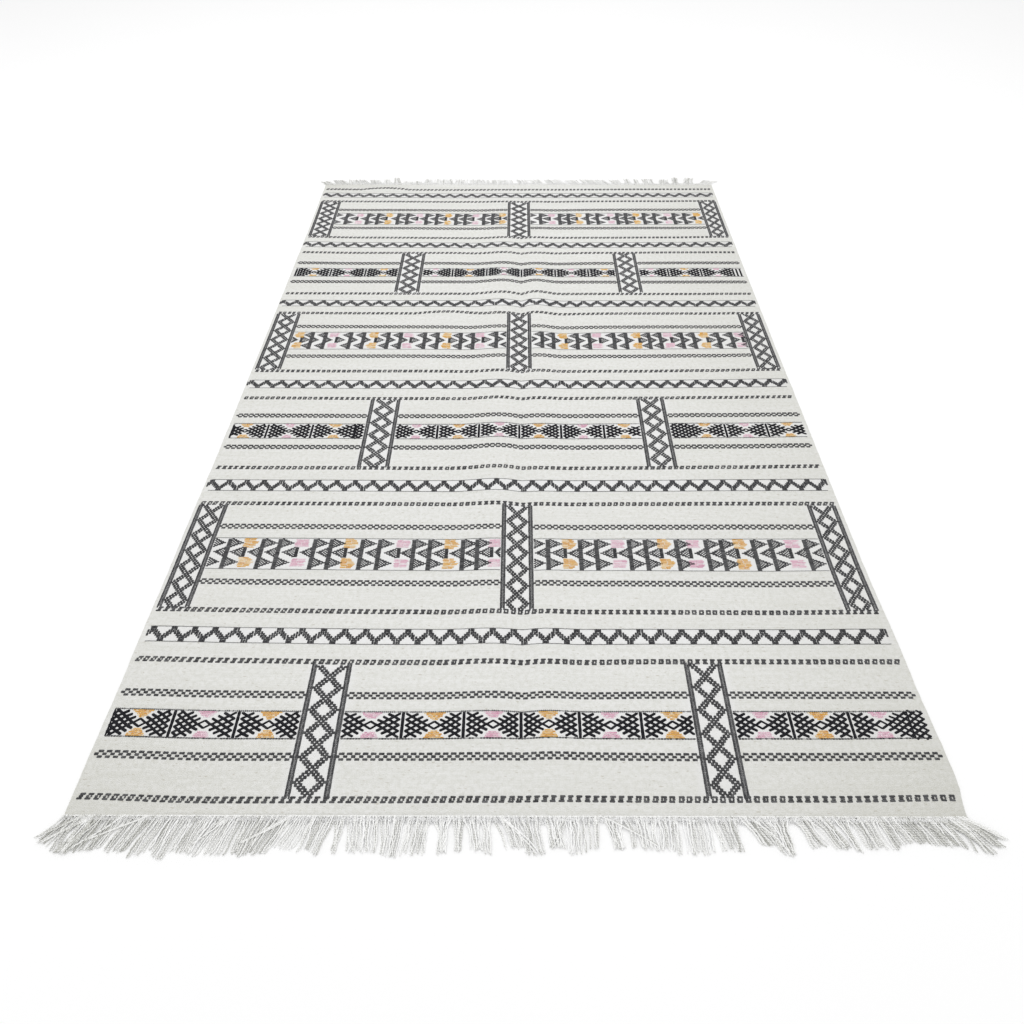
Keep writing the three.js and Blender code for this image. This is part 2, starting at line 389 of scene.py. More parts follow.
def turn_faces_outward():
    bpy.ops.mesh.normals_make_consistent(inside=False)


def corners_of(mesh):
    corners = np.empty(len(mesh.vertices) * 3)
    mesh.vertices.foreach_get("co", corners)
    return corners.reshape(-1, 3)


def place_corners(mesh, corners):
    mesh.vertices.foreach_set("co", np.ascontiguousarray(corners, float).ravel())
    mesh.update()


def add_values(mesh, name, values):
    """A number for each corner of a mesh, which a material reads."""
    layer = mesh.attributes.new(name, "FLOAT", "POINT")
    layer.data.foreach_set("value", np.ascontiguousarray(values, float))


def mesh_from(name, corners, faces, yarn_map, tones):
    """A mesh from corner places and same-sided faces, with a map along the yarn and a tone."""
    mesh = bpy.data.meshes.new(name)
    sides = faces.shape[1]
    mesh.vertices.add(len(corners))
    mesh.loops.add(faces.size)
    mesh.polygons.add(len(faces))
    mesh.vertices.foreach_set("co", np.ascontiguousarray(corners, float).ravel())
    mesh.loops.foreach_set("vertex_index", faces.ravel().astype(np.int32))
    mesh.polygons.foreach_set("loop_start", np.arange(0, faces.size, sides, dtype=np.int32))
    mesh.update(calc_edges=True)
    layer = mesh.uv_layers.new(name="yarn")
    layer.data.foreach_set("uv", np.ascontiguousarray(yarn_map[faces.ravel()], float).ravel())
    add_values(mesh, "tone", tones)
    mesh.shade_smooth()
    return mesh


def model_float():
    """One float of yarn: a slim three-sided spindle along X, one unit long, wide and high."""
    bpy.ops.object.select_all(action="DESELECT")
    bpy.ops.mesh.primitive_cylinder_add(
        vertices=3, radius=0.5, depth=0.76, end_fill_type="TRIFAN", rotation=(pi / 2, 0, pi / 2)
    )
    spindle = bpy.context.active_object
    bpy.ops.object.transform_apply(location=True, rotation=True, scale=True)
    mesh = spindle.data
    corners = corners_of(mesh)
    around = corners[:, 1:] - corners[:, 1:].mean(axis=0)
    tips = np.linalg.norm(around, axis=1) < 0.1
    corners[tips, 0] = np.sign(corners[tips, 0]) * 0.5
    place_corners(mesh, corners)
    select_only(spindle)
    in_edit_mode(bpy.ops.mesh.quads_convert_to_tris, turn_faces_outward)
    corners = corners_of(mesh)
    low, high = corners.min(axis=0), corners.max(axis=0)
    corners = (corners - (low + high) / 2) / (high - low)
    faces = np.empty(len(mesh.polygons) * 3, np.int32)
    mesh.polygons.foreach_get("vertices", faces)
    bpy.data.objects.remove(spindle)
    return corners, faces.reshape(-1, 3)


FLOAT_CORNERS, FLOAT_FACES = model_float()
FLOAT_HEIGHT = 1.5


def dashes(x, y, length, width, angle=0.0, tone=0.0):
    """Floats of yarn, as rows of: place across and along, length, width, angle and tone."""
    values = (x, y, length, width, angle, tone)
    parts = np.broadcast_arrays(*(np.asarray(value, float) for value in values))
    return np.stack([part.ravel() for part in parts], axis=1)


def lay_floats(name, floats):
    """One mesh of floats that lie on the cloth, each a copy of the same spindle."""
    rows = np.concatenate(floats)
    x, y, length, width, angle, tone = rows.T
    count = len(rows)
    length = length * uneven.uniform(0.97, 1.09, count)
    width = width * uneven.uniform(1.08, 1.28, count)
    turn = np.radians(angle + uneven.normal(0, 2.0, count))
    along, across, up = FLOAT_CORNERS.T
    out = length[:, None] * along
    side = width[:, None] * across
    px = x[:, None] + out * np.cos(turn)[:, None] - side * np.sin(turn)[:, None]
    py = y[:, None] + out * np.sin(turn)[:, None] + side * np.cos(turn)[:, None]
    py = bowed(px, py)
    tip = np.abs(along) > 0.49
    rise = np.where(tip, -0.25, 0.0) + FLOAT_HEIGHT * (up + 0.35) * np.where(tip, 0.3, 1.0)
    pz = top_at(px, py) + rise
    corners = np.stack([px, py, pz], axis=-1).reshape(-1, 3) * MM
    offsets = np.arange(count)[:, None, None] * len(FLOAT_CORNERS)
    faces = (FLOAT_FACES[None] + offsets).reshape(-1, 3)
    start = uneven.uniform(0, 50, count)[:, None]
    yarn_map = np.stack([start + out * 0.1, np.broadcast_to(up + across, out.shape)], axis=-1)
    tones = tone + uneven.normal(0, 0.14, count)
    mesh = mesh_from(name, corners, faces, yarn_map.reshape(-1, 2),
                     np.repeat(tones, len(FLOAT_CORNERS)))
    return new_object(name, mesh)


# Places of the pattern across the rug

# Room between the selvedge and an outer ladder, between a ladder's bar and the bands, and between
# the selvedge and a band. What lies further out than SIDE_FROM is at the rug's side.
LADDER_MARGIN = {"left": 13, "right": 15}
BAR_ROOM = 7
FIELD_MARGIN = 12
SIDE_FROM = 700


def middle_of(ladder, y):
    """The middle of a ladder, at places along the rug. The outer ones follow the selvedges."""
    if ladder["middle"] == "left":
        return LADDER_MARGIN["left"] + ladder["half"] - edge_at(y, "left")
    if ladder["middle"] == "right":
        return edge_at(y, "right") - LADDER_MARGIN["right"] - ladder["half"]
    return ladder["middle"] + 0 * y


def fields(section, y):
    """The runs between the ladders, from left to right."""
    left, right = half_widths(y)
    bars = [(float(middle_of(ladder, float(y))), ladder["half"] + BAR_ROOM)
            for ladder in section["ladders"]]
    starts = [middle + reach for middle, reach in bars]
    ends = [middle - reach for middle, reach in bars]
    if section["kind"] == "comb":
        return list(zip(starts[:-1], ends[1:]))
    return list(zip([FIELD_MARGIN - left, *starts], [*ends, right - FIELD_MARGIN]))


def run(start, end, pitch):
    """Evenly spaced places that fill a run, at nearly the given pitch."""
    count = max(1, int(round((end - start) / pitch)))
    return start + (np.arange(count) + 0.5) * (end - start) / count


def within(places, start, end):
    return [place for place in places if start < place < end]


def middle_and_half(band):
    """The middle line of a band and half its width along the rug."""
    return (band["top"] + band["bottom"]) / 2, (band["top"] - band["bottom"]) / 2


# Charts of the motifs

DOT_PITCH = 15.3
DOT_LENGTH = 11.4
DOT_SIDES = 10.6
DOT_ROW = 4.2


def dotted_line(y):
    """A line of small blocks. Some are open in their middle, some filled and some waisted."""
    left, right = half_widths(y)
    x = run(9 - left, right - 10, DOT_PITCH)
    x = x + uneven.normal(0, 0.4, len(x))
    rise = np.zeros(len(x))
    for hump in HUMPS:
        if hump["line"] == y:
            share = np.clip((x - hump["from"]) / (hump["to"] - hump["from"]), 0, 1)
            rise = rise + hump["rise"] * np.sin(pi * share)
    y = y + rise
    slant = 1.4 + 0.9 * np.sin(x / 360 + y / 400 + 0.1) + uneven.normal(0, 0.25, len(x))
    kind = np.sin(x / 83 + y / 37) + uneven.normal(0, 0.45, len(x))
    open_middle = np.clip(1.2 + 2.6 * kind, 0.6, 4.0)
    side = (DOT_SIDES - open_middle) / 2
    reach = np.where(kind > 0, (open_middle + side) / 2, 1.5 + kind * 0.4)
    heavier = 1.3 * np.sin(x / 47 + y / 23)
    thick = 4.9 + y / 2000
    return [
        dashes(x + slant, y + DOT_ROW, DOT_LENGTH, thick, 0, 0.2),
        dashes(x - reach, y, side + 0.8 - heavier, 4.3, 0, 0.3),
        dashes(x + reach, y, side + 0.8 + heavier, 4.3, 0, 0.3),
        dashes(x - slant, y - DOT_ROW, DOT_LENGTH, thick, 0, 0.2),
    ]


CHAIN_PITCH = 15.3
CHAIN_THICK = 5.7
CHAIN_ROWS = table("row apart length tone", [(5.5, 2.6, 6.4, 0.1), (-5.6, 2.3, 5.8, 0.15)])
CHAIN_LINK = {"length": 9.4, "shorter": 2.4, "thick": 6.0}


def chain_line(section, y):
    """A line of linked rings: three rows of small blocks, set like a checkerboard."""
    parts = []
    full = 0.9 + 0.36 * section["fade"]
    link = CHAIN_LINK["length"] - CHAIN_LINK["shorter"] * section["fade"]
    for start, end in fields(section, y):
        x = run(start, end, CHAIN_PITCH)
        half = (x[1] - x[0]) / 2
        for row in CHAIN_ROWS:
            for side in (-1, 1):
                parts.append(dashes(x + side * row["apart"], y + row["row"], row["length"] * full,
                                    CHAIN_THICK * full, 0, row["tone"]))
        between = np.append(x - half, x[-1] + half)
        parts.append(dashes(between, y, link, CHAIN_LINK["thick"] * full))
    return parts


def thread_line(start, end, y, fade):
    """A thin dark thread along the edge of a band. It is finer towards the back of the rug."""
    x = run(start, end, 11.0)
    tone = 0.4 + 0.4 * np.sin(x / 77 + y) + fade
    return dashes(x, y, 13.0, 1.4 - 0.7 * fade, 0, tone)


def stitched_edges(start, end, section):
    """Small stitches on the two edges of a lattice band, the lower ones longer and darker."""
    fade = section["fade"]
    low = run(start, end, 5.6)
    low = low[uneven.random(len(low)) > 0.12]
    high = run(start, end, 4.0)
    high = high[uneven.random(len(high)) > 0.15]
    low_tone = uneven.normal(0.1 + fade, 0.4, len(low))
    high_tone = uneven.normal(0.7 + fade, 0.3, len(high))
    return [
        dashes(low, section["bottom"], 5.0, 3.4 - 1.4 * fade, 0, low_tone),
        dashes(high, section["top"], 3.8, 2.4 - 0.8 * fade, 90, high_tone),
    ]


# Where the zigzags turn, by the number of the peak
ZIGZAG_STATIONS = table("peak across", [
    (0, -777),
    (4, -599),
    (8, -410),
    (18, 42),
    (25, 356),
    (35, 786),
])
ZIGZAG_REACH = 785
ZIGZAG_COLUMN = 4.5
ZIGZAG_ROW = 4.2


def zigzag_band(band, fade):
    """A zigzag of small upright floats, two in each column, with blunt peaks."""
    middle, half = middle_and_half(band)
    turns = np.arange(-2, 352) / 10
    x = np.interp(turns, column(ZIGZAG_STATIONS, "peak"), column(ZIGZAG_STATIONS, "across"))
    x[:2] -= np.array([2, 1]) * ZIGZAG_COLUMN
    x[-1] += ZIGZAG_COLUMN
    wave = np.abs(turns * 2 - 2 * np.floor(turns) - 1) * 2 - 1
    centre = middle + wave * (half - 7.6 - 1.6 * fade)
    blunt = np.isclose(np.abs(wave), 0.6)
    x = x + uneven.normal(0, 0.35, len(x))
    parts = [
        dashes(x, centre + row, 8.6 + 2.4 * fade, 4.6, 90, 0.6 * fade - 0.1)
        for row in (ZIGZAG_ROW, -ZIGZAG_ROW)
    ]
    peaks = middle + np.sign(wave[blunt]) * (half - 3.2)
    return [*parts, dashes(x[blunt], peaks, 6.0, 4.8, 90, 0.4 * fade + 0.1)]


BAR_STEP = 9.0
BAR_STRANDS = table("off shift length thick tone", [
    (-3.6, 0, 10.4, 3.8, 0.1),
    (0, BAR_STEP / 2, 9.8, 3.6, 0.9),
    (3.6, 0, 10.4, 3.8, 0.25),
])


def ladder_bars(section, ladder):
    """The two upright bars of a ladder, three floats wide."""
    parts = []
    y = np.arange(section["upper"] - 11, section["lower"] + 5, -BAR_STEP)
    for side in (-1, 1):
        centre = middle_of(ladder, y) + side * ladder["half"]
        for row in BAR_STRANDS:
            parts.append(dashes(centre + row["off"], y + row["shift"], row["length"],
                                row["thick"], 90, row["tone"]))
    return parts


def ladder_strands(section, ladder):
    """Two crossed zigzag strands between the bars, each of two lines of dots set by turns."""
    parts = []
    row, step = ladder["pitch"] / 10, ladder["half"] * 0.133
    top, bottom = section["upper"] - 7, section["lower"] + 4
    first = section["upper"] - ladder["first"] + 10 * row
    crossings = np.arange(first, bottom - 5 * row, -10 * row)
    for rows_up in range(-5, 5):
        near, far = abs(rows_up) - 0.94, abs(rows_up) + 0.94
        places = {-near, near} if far > 5 else {-far, -near, near, far}
        for place in sorted(places):
            y = crossings + rows_up * row
            y = y[(y < top) & (y > bottom)] + uneven.normal(0, 0.3)
            x = place * step + uneven.normal(0, 0.4, len(y))
            tone = 0.3 * section["fade"]
            parts.append(dashes(middle_of(ladder, y) + x, y, row + 2.8, step + 1.4, 90, tone))
    tips = crossings - 5 * row
    tips = tips[(tips < top) & (tips > bottom)]
    for side in (-1, 1):
        x = side * (5.2 * step + ladder["half"]) / 2
        parts.append(dashes(middle_of(ladder, tips) + x, tips, ladder["half"] - 4.9 * step, 5.4))
    return parts


STITCH_ROW = 3.4
TRIANGLE_ROWS = 9
TRIANGLE_SPAN = 4.7
TRIANGLE_RIM = 7.6
BEAD_OFF = 9


def comb_triangle(base, y, points, length, row_pitch=3.1):
    """A stepped triangle with a dark rim and a speckled inside, which points to one side."""
    parts = []
    for row in range(TRIANGLE_ROWS):
        off = row - TRIANGLE_ROWS // 2
        reach = length * (1 - abs(off) / TRIANGLE_SPAN)
        rim = min(reach, TRIANGLE_RIM)
        parts.append((reach - rim / 2, off, rim + 1.6, 4.2))
        places = np.arange(2 + 3.6 * (row % 2), reach - rim, 7.2)
        parts += [(place, off, 5.0, 3.4) for place in places]
    along, off, dash, width = np.array(parts).T
    return dashes(base + points * along, y + off * row_pitch, dash, width, 0, 0.1)


def comb_rows(section):
    """The middles of the three rows of triangles of a comb band."""
    top, height = section["top"], section["top"] - section["bottom"]
    return top - 0.16 * height, top - 0.455 * height, top - 0.785 * height


def comb_band(section, chart):
    """Bars with small stepped triangles, in three rows. A row of beads stands by each block."""
    points = chart["points"]
    upper, middle, lower = comb_rows(section)
    parts = []
    stitch_rows = np.arange(section["bottom"] + 2.5, section["top"] - 1, STITCH_ROW)
    bead_rows = middle + (np.arange(TRIANGLE_ROWS) - TRIANGLE_ROWS // 2) * STITCH_ROW
    outer_length, middle_length = chart["lengths"]["outer"], chart["lengths"]["middle"]
    beads = [x - points * BEAD_OFF for x in chart["ochre"] + chart["pink"]]
    for x in chart["bars"]:
        parts.append(dashes(x, stitch_rows, 11.5 + 2.5 * section["fade"], 3.6, 0, 0.3))
        for y in (upper, lower):
            parts.append(comb_triangle(x + points * 4, y, points, outer_length))
        parts.append(comb_triangle(x - points * 4, middle, -points, middle_length, 3.3))
    for x in beads:
        parts.append(dashes(x, bead_rows, 9.5, 3.5))
        parts.append(comb_triangle(x - points * 4, middle, -points, middle_length + 3, 3.4))
    for start, end in fields(section, middle):
        foot, far = (start, end) if points > 0 else (end, start)
        for y in (upper, lower):
            parts.append(comb_triangle(foot, y, points, outer_length - 3))
        room = min(abs(far - x) for x in chart["bars"] + beads) - 7
        parts.append(comb_triangle(far, middle, -points, min(middle_length - 2, room), 3.3))
    return parts


def block_row(x, y, left, split, right, tone, thick, limits):
    """One row of a colour block, in two floats that meet at its split."""
    parts = []
    for start, end in ((left, split), (split, right)):
        shade = tone + uneven.normal(0, 0.4)
        ends = np.clip([x + start, x + end], *limits)
        parts.append(dashes(ends.mean(), y, abs(np.ptp(ends)) + 1, thick, 0, shade))
    return parts


def ochre_block(x, y, points, fade, limits):
    """A ragged block of ochre floats that narrows to one side, like a flame."""
    parts = []
    points = points * (1 - 0.25 * fade)
    for off in np.arange(-4, 5) + uneven.uniform(-0.2, 0.2):
        left = -17 + uneven.uniform(-1, 2.5)
        right = 20 - 2.6 * abs(off) + uneven.uniform(-4, 3)
        split = (left + right) / 2 + uneven.uniform(-3, 3)
        parts += block_row(x, y + off * STITCH_ROW, points * left, points * split, points * right,
                           0.5 * fade, 2.9 - 0.6 * fade, limits)
    return parts


def pink_block(x, y, fade, limits):
    """A ragged block of pink floats with straight sides."""
    parts = []
    for off in np.arange(-3, 4):
        left = -18 + uneven.uniform(-2, 3) + 6 * fade
        right = 18 + uneven.uniform(-5, 2) - 6 * fade
        split = uneven.uniform(-6, 6)
        parts += block_row(x, y + off * STITCH_ROW, left, split, right,
                           0.1 + 0.6 * fade, 2.9 - 1.1 * fade, limits)
    return parts


NET_COLUMN = 9.6
NET_RISE = 6.1
NET_THICK = 5.3
NET_START = 14.5
FAR_NET = 50
WIDEST_NET = 75
END_BAR_PITCH = 11.0
DIAMOND = {"off": 6.2, "rise": 4.2, "length": 18.6, "thick": 4.7, "slope": 33}


def lattice_half(x, y, toward, reach, gap, half_height, thick, first):
    """One side of a unit: a net that opens from the small diamond to the bar beside it."""
    parts = []
    columns = max(3, int(round((reach - gap - first + 1.5) / NET_COLUMN)))
    step = (reach - gap - first) / columns
    slope = np.degrees(np.arctan2(NET_RISE, step))
    strand = np.hypot(step, NET_RISE)
    limit = half_height - 2
    for out in range(columns):
        for level in range(-out, out + 1, 2):
            for up in (-1, 1):
                if abs((level + up) * NET_RISE) < limit:
                    share, length = 0.5, strand + 2.8
                elif abs(level * NET_RISE) < limit:
                    share, length = 0.25, strand * 0.7
                else:
                    continue
                parts.append((first + (out + share) * step, (level + up * share) * NET_RISE,
                              length, NET_THICK, up * slope))
    for out in range(1, columns):
        for up in (-1, 1):
            if (out + 0.6) * NET_RISE < limit:
                rim = (first + out * step - 5.6, up * (out * NET_RISE + 2.9))
                parts.append((*rim, 16.0, 5.6, -up * 27))
    last = first + columns * step
    for level in range(-columns, columns + 1, 2):
        if abs(level * NET_RISE) < limit:
            parts.append((last, level * NET_RISE, 5.4, 4.0, 0))
    parts.append((first / 2 + 6, 0, first - 3, 5.4, 0))
    along, off, length, width, angle = np.array(parts).T
    return dashes(x + toward * along, y + off, length, width * thick, toward * angle)


def net_size(x, wall, start, end, farthest, thick):
    """Reach, gap to the bar beside it and thickness of a net. At the rug's sides they differ."""
    outer = wall in (start, end) and abs(wall) > SIDE_FROM
    if outer and farthest:
        return FAR_NET + 2, 2.0, thick
    if outer:
        reach = abs(x - wall) + 6
        return reach, 7.2, thick * (1.1 if reach < WIDEST_NET else 0.92)
    return abs(x - wall), 2.0 if wall in (start, end) else 7.2, thick


def small_diamond(x, y, size):
    """The four strands of the small diamond in the middle of a unit."""
    return [
        dashes(x + side * DIAMOND["off"] * size, y + up * DIAMOND["rise"] * size,
               DIAMOND["length"] * size, DIAMOND["thick"], -side * up * DIAMOND["slope"])
        for side in (-1, 1)
        for up in (-1, 1)
    ]


def lattice_band(section, chart):
    """Units of a small diamond between two nets, with an upright bar between two units.

    Where the last unit stops short of the rug's side, one bar ends the band, or a row of bars on
    the farthest band.
    """
    middle, half = middle_and_half(section)
    parts = []
    fade = section["fade"]
    farthest = fade > 0.8
    centres = sorted(chart["ochre"] + chart["pink"])
    thick = 1 + 0.28 * fade
    small = 1 - 0.3 * min(1.0, 2 * fade)
    upright = np.arange(section["bottom"] + 4, section["top"] - 2, 6.0)
    for start, end in fields(section, middle):
        here = within(centres, start, end)
        walls = [start, *((a + b) / 2 for a, b in zip(here[:-1], here[1:])), end]
        for x, left, right in zip(here, walls[:-1], walls[1:]):
            for toward, wall in ((-1, left), (1, right)):
                reach, gap, strong = net_size(x, wall, start, end, farthest, thick)
                parts.append(lattice_half(x, middle, toward, reach, gap, half, strong,
                                          NET_START * small))
            parts += small_diamond(x, middle, small)
        parts += [dashes(wall, upright, 9.0, 6.2, 90) for wall in walls[1:-1]]
        end_bars = []
        if start < -SIDE_FROM:
            row = run(start, here[0] - FAR_NET, END_BAR_PITCH)
            end_bars += list(row) if farthest else [start + 1]
        if end > here[-1] + WIDEST_NET:
            row = run(here[-1] + FAR_NET, end, END_BAR_PITCH)
            end_bars += list(row) if farthest else [here[-1] + 57]
        parts += [dashes(bar, upright, 9.0, 3.4 + 3.6 * fade, 90) for bar in end_bars]
    return parts


POINTED_WIDTHS = [42, 35, 27, 19, 11]
ROUNDED_WIDTHS = [38, 34, 30, 24, 15]


def lattice_colours(section, centres, fullness, tone):
    """The colour over and under each unit: pointed at the top and a half round at the bottom."""
    parts = []
    top_edge = (POINTED_WIDTHS, section["top"] - 2.5, -1)
    bottom_edge = (ROUNDED_WIDTHS, section["bottom"] + 2.5, 1)
    for x in centres:
        for widths, edge, inward in (top_edge, bottom_edge):
            for row, width in enumerate(widths[:int(round(len(widths) * fullness))]):
                width = width * fullness + uneven.uniform(-3, 2)
                places = run(x - width / 2, x + width / 2, 5.0) + uneven.uniform(-1, 1)
                tones = section["fade"] * 0.4 + tone + uneven.normal(0, 0.45, len(places))
                parts.append(dashes(places, edge + inward * row * STITCH_ROW,
                                    width / len(places) + 0.6, 3.0, 0, tones))
    return parts


def chart_section(section, chart, floats):
    """All floats of one section, added to the pieces that they belong to."""
    middle, _ = middle_and_half(section)
    fade = section["fade"]
    for y in (section["upper"], section["lower"]):
        floats["dotted_lines"] += dotted_line(y)
    for y in (section["upper_chain"], section["lower_chain"]):
        floats["chain_lines"] += chain_line(section, y)
    for ladder in section["ladders"]:
        floats["ladder_bars"] += ladder_bars(section, ladder)
        floats["ladder_strands"] += ladder_strands(section, ladder)
    for start, end in fields(section, middle):
        for y in (section["top"], section["bottom"]):
            floats["band_threads"].append(thread_line(start, end, y, fade))
        if section["kind"] == "lattice":
            floats["band_threads"] += stitched_edges(start, end, section)
    if section["kind"] == "lattice":
        floats["lattice_bands"] += lattice_band(section, chart)
        ochre_share, pink_share = 1.0 - 0.35 * fade, 0.92 - 0.4 * fade
        floats["ochre_floats"] += lattice_colours(section, chart["ochre"], ochre_share, 0)
        floats["pink_floats"] += lattice_colours(section, chart["pink"], pink_share, 0.1)
        return
    floats["comb_bands"] += comb_band(section, chart)
    for y in comb_rows(section)[::2]:
        for limits in fields(section, middle):
            for x in within(chart["ochre"], *limits):
                floats["ochre_floats"] += ochre_block(x, y, chart["points"], fade, limits)
            for x in within(chart["pink"], *limits):
                floats["pink_floats"] += pink_block(x, y, fade, limits)


def chart_pattern():
    """The floats of the whole pattern, under the names of their pieces."""
    floats = defaultdict(list)
    floats["dotted_lines"] += dotted_line(FIRST_DOTTED_LINE)
    charts = {"comb": iter(COMB_BANDS), "lattice": iter(LATTICE_BANDS)}
    for section in SECTIONS:
        chart_section(section, next(charts[section["kind"]]), floats)
    for band in ZIGZAGS:
        middle, _ = middle_and_half(band)
        fade = (middle + 950) / 2200
        floats["zigzag_bands"] += zigzag_band(band, fade)
        left, right = half_widths(middle)
        for y in (band["top"], band["bottom"]):
            floats["band_threads"].append(thread_line(14 - left, right - 14, y, fade))
    return floats


# The fringe

def clump_paths(roots, clumps):
    """Middles and half widths of each root's clump, the root's place in it, and its reach."""
    starts = column(clumps, "from")
    index = np.clip(np.searchsorted(starts, roots, side="right") - 1, 0, len(clumps) - 2)
    start, end = starts[index], starts[index + 1]
    tips, tips_to, neck, out, out_to = (
        column(clumps[:-1], name)[index] for name in ("tips", "tips_to", "neck", "out", "out_to")
    )
    place = (roots - start) / (end - start)
    middles = np.stack([(start + end) / 2, (tips + tips_to) / 2])
    halves = np.stack([(end - start) / 2, neck * (tips_to - tips) / 2, (tips_to - tips) / 2])
    return middles, halves, place * 2 - 1, out + (out_to - out) * place


def strand_tubes(x, y, z, radius, sides):
    """Round strands along rows of points, as one run of corners and faces."""
    count, rings = x.shape
    slope_x, slope_y = np.gradient(x, axis=1), np.gradient(y, axis=1)
    norm = np.hypot(slope_x, slope_y)
    spin = (np.arange(sides) + 0.5) / sides * 2 * pi
    side, up = radius[..., None] * np.cos(spin), radius[..., None] * np.sin(spin)
    px = x[..., None] - (slope_y / norm)[..., None] * side
    py = y[..., None] + (slope_x / norm)[..., None] * side
    pz = np.maximum(z[..., None] + up * 0.9, 0.04)
    corners = np.stack([px, py, pz], axis=-1).reshape(-1, 3)
    faces = []
    for ring in range(rings - 1):
        for corner in range(sides):
            a = ring * sides + corner
            b = ring * sides + (corner + 1) % sides
            faces += [(a, a + sides, b + sides), (a, b + sides, b)]
    last = (rings - 1) * sides
    for corner in range(1, sides - 1):
        faces.append((0, corner, corner + 1))
        faces.append((last, last + corner + 1, last + corner))
    offsets = np.arange(count)[:, None, None] * rings * sides
    faces = (np.array(faces)[None] + offsets).reshape(-1, 3)
    return corners, faces


def strand_object(name, x, y, z, radius, sides, length, tone, spread):
    """A mesh of strands, with the map along the yarn that the twist follows."""
    count, rings = x.shape
    corners, faces = strand_tubes(x, y, z, radius, sides)
    share = np.linspace(0, 1, rings)
    along = np.broadcast_to((length / 10)[:, None, None] * share[:, None], (count, rings, sides))
    turn = np.broadcast_to(np.arange(sides) / sides, along.shape)
    yarn_map = np.stack([along, turn], axis=-1).reshape(-1, 2)
    tones = np.repeat(tone + uneven.normal(0, spread, count), rings * sides)
    piece = new_object(name, mesh_from(name, corners * MM, faces, yarn_map, tones))
    select_only(piece)
    in_edit_mode(turn_faces_outward)
    return piece


def painted_shade_at_sides(x):
    """How much painted shade darkens the warp yarn, from 0 near the middle to 1 at the rug's
    sides.
    """
    return np.clip((np.abs(x) - 300) / 400, 0, 1)


STRAY_SHARE = 0.12
CRIMP = {"pitch": 13, "sideways": 0.6}
SWAY = {"turns": 1.2, "sideways": 1.1}


def lay_fringe(name, outward, clumps, crossings):
    """Loose strands of twisted warp yarn, which lie on the floor in clumps."""
    end_y = outward * CLOTH_LENGTH / 2
    left, right = half_widths(end_y)
    roots = run(1.5 - left, right - 1.5, STRAND_PITCH)
    count = len(roots)
    middles, halves, place, reach = clump_paths(roots, clumps)
    stray = uneven.random(count) < STRAY_SHARE
    place = place + uneven.normal(0, np.where(stray, 0.35, 0.05))
    reach = reach * uneven.uniform(0.9, 1.03, count)
    share = np.linspace(0, 1, STRAND_RINGS)
    drawn_in = halves[1] < 0.7 * halves[2]
    closed_at = np.where(drawn_in, 0.5, np.where(roots < -230, 0.9, 0.5))[:, None]
    closing = gentle(share / closed_at)
    opening = np.clip((share - closed_at) / (1 - closed_at), 0, 1)
    half = halves[0][:, None] + (halves[1] - halves[0])[:, None] * closing
    half = half + (halves[2] - halves[1])[:, None] * opening**1.3
    x = middles[0][:, None] + (middles[1] - middles[0])[:, None] * share + place[:, None] * half
    layer = np.where(stray, 3.0, uneven.integers(0, 3, count))

    for row in crossings:
        extra = row["strands"]
        start = row["from"] + np.arange(extra) * STRAND_PITCH
        tip = row["tip"] + np.arange(extra) * 3.4 + uneven.normal(0, 1.5, extra)
        bend = uneven.normal(4, 1.5, extra)[:, None] * np.sin(pi * share)
        x = np.concatenate([x, start[:, None] + (tip - start)[:, None] * share + bend])
        roots = np.append(roots, start)
        reach = np.append(reach, np.full(extra, row["out"]) * uneven.uniform(0.94, 1.03, extra))
        layer = np.append(layer, np.full(extra, 2.6))

    count = len(roots)
    start_y = end_of(roots, outward) - outward * 2.0
    tip_y = end_y + outward * reach
    length = np.hypot(x[:, -1] - roots, tip_y - start_y)
    crimp = 2 * pi * (length[:, None] / CRIMP["pitch"] * share + uneven.random(count)[:, None])
    sway = 2 * pi * (share * SWAY["turns"] + uneven.random(count)[:, None])
    loose = np.minimum(1, share * 4)
    x = x + (CRIMP["sideways"] * np.sin(crimp) + SWAY["sideways"] * np.sin(sway)) * loose
    y = start_y[:, None] + (tip_y - start_y)[:, None] * share
    z = np.interp(share, [0, 0.12, 0.3, 1], [2.9, 2.7, 1.9, 1.5])
    z = z + 1.0 * layer[:, None] * np.sin(pi * np.clip(share * 1.1, 0, 1) * 0.8)
    taper = np.interp(share, [0, 0.12, 0.3, 0.93, 1], [1.3, 1.2, 1, 1, 0.75])
    radius = STRAND_WIDTH / 2 * uneven.uniform(0.88, 1.08, count)[:, None] * taper
    # Painted shade: the strands darken towards the rug's sides.
    tone = 0.1 - 0.5 * painted_shade_at_sides(roots)
    return strand_object(name, x, y, z, radius, 5, length, tone, 0.45)


FIBRES = 3000
FIBRE_RINGS = 4
FIBRE_RADIUS = 0.55


